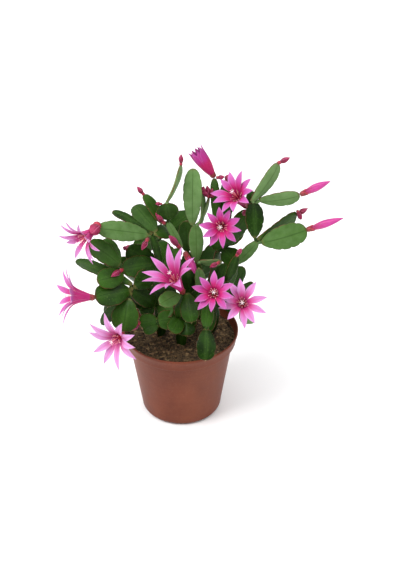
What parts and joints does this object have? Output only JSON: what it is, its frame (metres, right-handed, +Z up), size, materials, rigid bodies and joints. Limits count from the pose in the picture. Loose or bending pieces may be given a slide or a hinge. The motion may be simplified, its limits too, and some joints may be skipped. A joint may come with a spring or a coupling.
{
  "type": "potted christmas cactus",
  "caption": "Flowering Easter cactus in a round nursery pot: flat jointed stem segments, star-shaped pink blossoms and long buds over peat soil.",
  "frame": {"origin": "centre of the pot's flat base, on the surface it stands on", "axes": "+Z up along the pot's axis, -Y towards the front, from which most blossoms face"},
  "size_m": [0.282, 0.1681, 0.2919],
  "materials": {
    "pot_plastic": "terracotta-brown injection-moulded plastic, satin",
    "soil": "moist brown peat compost with paler fibres",
    "leaf": "waxy green stem tissue, satin, paler along the midrib",
    "petal": "pink petals, soft satin, deep magenta at the throat",
    "bud": "magenta-pink closed petals, soft satin"
  },
  "bodies": {
    "root": {"pot": "pot_plastic", "potting_soil": "soil", "right_root": "leaf", "centre_root": "leaf", "left_root": "leaf", "front_root": "leaf", "back_root": "leaf", "right_riser": "leaf", "right_fork": "leaf", "right_upright": "leaf", "right_low_pad": "leaf", "right_back_pad": "leaf", "right_top_pad": "leaf", "right_side_pad": "leaf", "centre_riser": "leaf", "centre_right_pad": "leaf", "centre_upright": "leaf", "centre_top_stem": "leaf", "centre_mid": "leaf", "centre_step": "leaf", "centre_tall_pad": "leaf", "centre_slim_pad": "leaf", "left_riser": "leaf", "left_centre_riser": "leaf", "left_centre_stem": "leaf", "left_centre_round_pad": "leaf", "left_centre_side_pad": "leaf", "left_centre_top_pad": "leaf", "left_inner_pad": "leaf", "left_twig": "leaf", "left_long_pad": "leaf", "left_round_pad": "leaf", "left_outer_pad": "leaf", "left_mid_pad": "leaf", "left_low_riser": "leaf", "left_low_pad": "leaf", "left_far_pad": "leaf", "left_drooping_pad": "leaf", "front_riser": "leaf", "front_left_pad": "leaf", "front_hanging_pad": "leaf", "front_centre_riser": "leaf", "front_link": "leaf", "rim_pad": "leaf", "front_right_riser": "leaf", "back_right_pad": "leaf", "back_left_pad": "leaf", "back_top_pad": "leaf", "blossom_far_left": "petal", "blossom_left": "petal", "blossom_low_left": "petal", "blossom_centre_left": "petal", "blossom_front": "petal", "blossom_front_right": "petal", "blossom_upper_right": "petal", "blossom_middle": "petal", "blossom_top": "petal", "blossom_drooping": "bud", "long_bud_upper": "bud", "long_bud_lower": "bud"}
  },
  "joints": []
}
